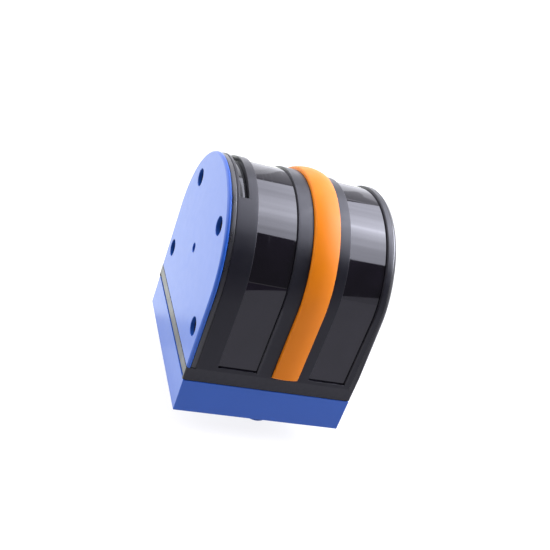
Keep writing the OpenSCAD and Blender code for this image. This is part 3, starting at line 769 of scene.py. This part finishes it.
def sleeve():
    """Connector sleeve with a real helical M12 x 1 thread."""
    bm = bmesh.new()
    n = 72
    prof = []  # z, radius, thread weight
    z_tip = Z_BOT - 11.3
    prof += [(z_tip, 4.75, 0), (z_tip, 5.2, 0), (z_tip + 0.25, 5.5, 0)]
    zz = np.arange(z_tip + 0.4, Z_BOT - 1.3, 0.125)
    for z in zz:
        w = min(1.0, max(0.0, (z - z_tip - 0.3) / 0.8)) * min(1.0, max(0.0, (Z_BOT - 1.3 - z) / 0.8))
        chamfer = max(0.0, 0.45 - (z - z_tip - 0.3) * 0.45)
        prof.append((z, 6.0 - chamfer, w))
    prof += [(Z_BOT - 1.2, 5.72, 0), (Z_BOT - 0.5, 5.72, 0), (Z_BOT - 0.3, 6.0, 0), (-48.35, 6.0, 0), (-48.35, 4.42, 0), (z_tip + 0.5, 4.42, 0), (z_tip + 0.15, 4.5, 0)]
    loops = []
    for z, r, w in prof:
        lp = []
        for k in range(n):
            a = 2 * math.pi * k / n
            ph = (z + k / n) % 1.0
            tri = abs(ph - 0.5) * 2
            rr = r - 0.5 * w * tri if w else r
            lp.append(v3(bm, CON[0] + rr * math.cos(a), CON[1] + rr * math.sin(a), z))
        loops.append(lp)
    for a, b in zip(loops, loops[1:] + loops[:1]):
        loop_faces(bm, a, b)
    return finish_mesh("connector_sleeve_visual", bm, "blue_plastic", ["connector_sleeve"], sharp=50.0, weighted=False)


housing()
mounting_plate()
end_cap()
window("receive_window_visual", 10.85, 29.75, "receive_window")
window("transmit_window_visual", 49.25, 67.35, "transmit_window")
accent_band()
light_pipe()
gasket()
base_cover()
base_gasket()
sleeve()

# ------------------------------------------------------------------ floor, lights, camera
FLOOR_Z = -62.65 * MM


def plane(name, x0, x1, y0, y1, z, mat):
    me = bpy.data.meshes.new(name)
    me.from_pydata([(x0, y0, z), (x1, y0, z), (x1, y1, z), (x0, y1, z)], [], [(0, 1, 2, 3)])
    o = bpy.data.objects.new(name, me)
    bpy.context.scene.collection.objects.link(o)
    me.materials.append(mat)
    return o


def simple(name, color, rough=0.9, emit=None, strength=1.0):
    m = bpy.data.materials.new(name)
    m.use_nodes = True
    b = m.node_tree.nodes["Principled BSDF"]
    b.inputs["Base Color"].default_value = (*color, 1)
    b.inputs["Roughness"].default_value = rough
    b.inputs["Specular IOR Level"].default_value = 0.2
    if emit is not None:
        b.inputs["Emission Color"].default_value = (*emit, 1)
        b.inputs["Emission Strength"].default_value = strength
    return m


floor_mat = simple("floor_paper", (0.15, 0.149, 0.15), emit=(1.0, 0.995, 1.0), strength=0.86)
plane("floor", -6.0, 6.0, -6.0, 6.0, FLOOR_Z, floor_mat)


def card(name, co, color, strength, every_ray=False):
    """Card that only reflections see, as a studio flag or reflector would be."""
    me = bpy.data.meshes.new(name)
    me.from_pydata(co, [], [tuple(range(len(co)))])
    o = bpy.data.objects.new(name, me)
    bpy.context.scene.collection.objects.link(o)
    me.materials.append(simple(name + "_paint", (0.0, 0.0, 0.0), 1.0, color, strength))
    o.visible_camera = False
    o.visible_diffuse = every_ray
    o.visible_shadow = False
    o.visible_transmission = False
    o.visible_volume_scatter = False
    return o


LOW = FLOOR_Z + 0.0006
# grey reflector on the floor in front, dark flag to the left of it: their border is the line seen in the windows
card("reflector_floor", [(-0.012, -0.048, LOW), (0.04, -0.168, LOW), (0.268, -0.686, LOW), (1.5, -3.48, LOW), (3.4, -3.48, LOW), (3.4, -0.048, LOW)],
     (0.86, 0.85, 1.0), 0.92)
card("reflector_far", [(1.5, -3.4, LOW), (3.3, -3.4, LOW), (3.3, -3.4, 2.3), (2.56, -3.4, 1.31), (1.84, -3.4, 0.42)], (0.86, 0.85, 1.0), 0.8)
card("flag_floor", [(-3.4, -0.13, LOW), (0.024, -0.13, LOW), (0.04, -0.168, LOW), (0.268, -0.686, LOW), (1.5, -3.48, LOW), (-3.4, -3.48, LOW)],
     (0.75, 0.6, 1.0), 0.13)
card("reflector_back", [(-3.0, 0.046, LOW), (-0.004, 0.046, LOW), (-0.004, 0.05, LOW), (0.4, 0.05, LOW), (0.4, 3.0, LOW), (-3.0, 3.0, LOW)],
     (0.95, 0.985, 0.95), 2.32)
card("reflector_dip", [(-3.0, 0.02, LOW), (-0.006, 0.02, LOW), (-0.006, 0.046, LOW), (-3.0, 0.046, LOW)], (0.95, 0.985, 0.97), 1.4)
card("reflector_near", [(-3.0, -0.06, LOW), (-0.006, -0.06, LOW), (-0.006, 0.02, LOW), (-3.0, 0.02, LOW)], (0.95, 0.985, 0.97), 1.8)
# stands behind the softbox: thin dark lines at the far side of the bright zone
card("stand_rail", [(0.36, 0.905, 1.02), (0.62, 0.99, 1.02), (0.63, 0.84, 1.02), (0.95, 0.95, 1.02), (0.95, 1.03, 1.02), (0.64, 0.93, 1.02), (0.62, 1.09, 1.02), (0.36, 1.0, 1.02)],
     (0.9, 0.88, 1.0), 0.7)


def softbox():
    """Overhead softbox as the windows show it: bright over the middle, brighter to the right, with the seams of its cloth."""
    co = [(0.33, -0.62), (0.413, -0.65), (0.490, -0.666), (0.690, -0.918), (0.760, -0.893), (1.25, -0.86), (1.25, 1.0), (0.745, 0.95), (0.625, 0.81),
          (0.540, 0.944), (0.440, 0.880), (0.33, 0.83)]
    me = bpy.data.meshes.new("softbox")
    me.from_pydata([(x, y, 1.0) for x, y in co], [], [tuple(reversed(range(len(co))))])
    o = bpy.data.objects.new("softbox", me)
    bpy.context.scene.collection.objects.link(o)
    m = bpy.data.materials.new("softbox_cloth")
    m.use_nodes = True
    nt = m.node_tree
    nt.nodes.clear()
    N, L = nt.nodes, nt.links
    out = N.new("ShaderNodeOutputMaterial")
    em = N.new("ShaderNodeEmission")
    L.new(em.outputs[0], out.inputs["Surface"])
    em.inputs["Color"].default_value = (0.955, 0.965, 1.12, 1)
    tc = N.new("ShaderNodeTexCoord")
    sp = N.new("ShaderNodeSeparateXYZ")
    L.new(tc.outputs["Object"], sp.inputs[0])

    def math_node(op, a, b=None, c=None):
        n = N.new("ShaderNodeMath")
        n.operation = op
        for k, v in enumerate((a, b, c)):
            if v is None:
                continue
            if isinstance(v, (int, float)):
                n.inputs[k].default_value = v
            else:
                L.new(v, n.inputs[k])
        return n.outputs[0]

    ramp = N.new("ShaderNodeMapRange")
    ramp.inputs["From Min"].default_value = 0.36
    ramp.inputs["From Max"].default_value = 0.56
    ramp.inputs["To Min"].default_value = 8.2
    ramp.inputs["To Max"].default_value = 10.4
    L.new(sp.outputs["X"], ramp.inputs["Value"])
    q = math_node("MULTIPLY", sp.outputs["Y"], 1.0 / 0.35)
    q = math_node("MULTIPLY", q, q)
    q = math_node("ADD", q, 1.0)
    q = math_node("DIVIDE", 0.65, q)
    q = math_node("ADD", q, 0.35)
    wv = N.new("ShaderNodeTexNoise")
    mp = N.new("ShaderNodeMapping")
    mp.inputs["Scale"].default_value = (0.6, 6.5, 0.0)
    mp.inputs["Rotation"].default_value = (0.0, 0.0, 0.16)
    L.new(tc.outputs["Object"], mp.inputs["Vector"])
    L.new(mp.outputs["Vector"], wv.inputs["Vector"])
    wv.inputs["Scale"].default_value = 1.0
    wv.inputs["Detail"].default_value = 3.0
    cloth = N.new("ShaderNodeMapRange")
    cloth.inputs["From Min"].default_value = 0.3
    cloth.inputs["From Max"].default_value = 0.7
    cloth.inputs["To Min"].default_value = 0.86
    cloth.inputs["To Max"].default_value = 1.14
    L.new(wv.outputs["Fac"], cloth.inputs["Value"])
    q = math_node("MULTIPLY", q, cloth.outputs["Result"])
    q = math_node("MULTIPLY", q, ramp.outputs["Result"])
    # brighter tube behind the cloth, right half
    tube = math_node("ADD", sp.outputs["Y"], -0.005)
    tube = math_node("MULTIPLY", tube, 1.0 / 0.055)
    tube = math_node("MULTIPLY", tube, tube)
    tube = math_node("ADD", tube, 1.0)
    tube = math_node("MULTIPLY", tube, tube)
    tube = math_node("DIVIDE", 4.2, tube)
    tx = N.new("ShaderNodeMapRange")
    tx.inputs["From Min"].default_value = 0.4
    tx.inputs["From Max"].default_value = 0.5
    L.new(sp.outputs["X"], tx.inputs["Value"])
    tube = math_node("MULTIPLY", tube, tx.outputs["Result"])
    q = math_node("ADD", q, tube)
    L.new(q, em.inputs["Strength"])
    me.materials.append(m)
    o.visible_camera = False
    o.visible_shadow = False
    return o


softbox()
# dark stands behind the softbox, seen in the upper part of both windows
for k, (pts, v) in enumerate([
        ([(0.7, 0.28), (0.76, 0.3), (0.88, 0.85), (1.06, 1.5), (1.13, 2.05), (0.86, 2.05), (0.74, 1.15)], 1.85),
        ([(0.74, 0.33), (0.77, 0.4), (0.86, 0.95), (1.02, 1.6), (1.07, 1.98), (0.9, 1.98), (0.82, 1.5), (0.745, 0.6)], 0.95),
        ([(1.02, 0.6), (1.06, 0.6), (1.22, 1.2), (1.45, 1.6), (1.56, 2.05), (1.25, 2.05), (1.06, 1.4)], 1.85),
        ([(1.035, 0.73), (1.06, 0.8), (1.16, 1.2), (1.36, 1.66), (1.5, 1.98), (1.3, 1.93), (1.12, 1.5), (1.05, 1.08)], 1.05)]):
    card("stand_%d" % k, [(x, 2.0 - 0.01 * k, z) for x, z in pts], (0.92, 0.92, 1.0), v)
# the softbox goes on to the right, past what the windows show
card("softbox_far", [(1.24, -0.86, 1.001), (3.2, -0.8, 1.001), (3.2, 1.0, 1.001), (1.24, 1.0, 1.001)], (0.955, 0.965, 1.12), 12.0, every_ray=True)

world = bpy.data.worlds.new("studio")
bpy.context.scene.world = world
world.use_nodes = True
wn, wl = world.node_tree.nodes, world.node_tree.links
bg = wn["Background"]
wtc = wn.new("ShaderNodeTexCoord")
wsp = wn.new("ShaderNodeSeparateXYZ")
wl.new(wtc.outputs["Generated"], wsp.inputs[0])


def w_range(sock, a, b, lo, hi):
    n = wn.new("ShaderNodeMapRange")
    n.interpolation_type = "SMOOTHSTEP"
    n.inputs["From Min"].default_value = a
    n.inputs["From Max"].default_value = b
    n.inputs["To Min"].default_value = lo
    n.inputs["To Max"].default_value = hi
    wl.new(sock, n.inputs["Value"])
    return n.outputs["Result"]


back = w_range(wsp.outputs["Y"], -0.1, 0.4, 0.12, 2.05)
left_x = w_range(wsp.outputs["X"], -0.65, -0.05, 4.2, 0.0)
left_y = w_range(wsp.outputs["Y"], -0.55, 0.1, 0.0, 1.0)
left_n = wn.new("ShaderNodeMath")
left_n.operation = "MULTIPLY"
wl.new(left_x, left_n.inputs[0])
wl.new(left_y, left_n.inputs[1])
left = left_n.outputs[0]
rightw = w_range(wsp.outputs["X"], 0.6, 0.95, 0.0, 1.5)
mx1 = wn.new("ShaderNodeMath")
mx1.operation = "MAXIMUM"
wl.new(back, mx1.inputs[0])
wl.new(left, mx1.inputs[1])
mx2 = wn.new("ShaderNodeMath")
mx2.operation = "MAXIMUM"
wl.new(mx1.outputs[0], mx2.inputs[0])
wl.new(rightw, mx2.inputs[1])
wl.new(mx2.outputs[0], bg.inputs["Strength"])
bg.inputs["Color"].default_value = (0.97, 0.975, 1.06, 1)

cam_d = bpy.data.cameras.new("camera")
cam = bpy.data.objects.new("camera", cam_d)
bpy.context.scene.collection.objects.link(cam)
cam_d.sensor_width = 36.0
cam_d.lens = 53.439
cam_d.clip_start = 0.01
cam_d.clip_end = 20.0
right = Vector((0.9192277, -0.2270002, 0.3217007))
down = Vector((0.1722708, -0.5028211, -0.8470500))
fwd = Vector((0.3540384, 0.8340515, -0.4231016))
rot = Matrix((right, -down, -fwd)).transposed()
cam.matrix_world = Matrix.Translation((-0.0848216, -0.2884889, 0.1409286)) @ rot.to_4x4()
bpy.context.scene.camera = cam
bpy.context.scene.view_settings.view_transform = "Standard"
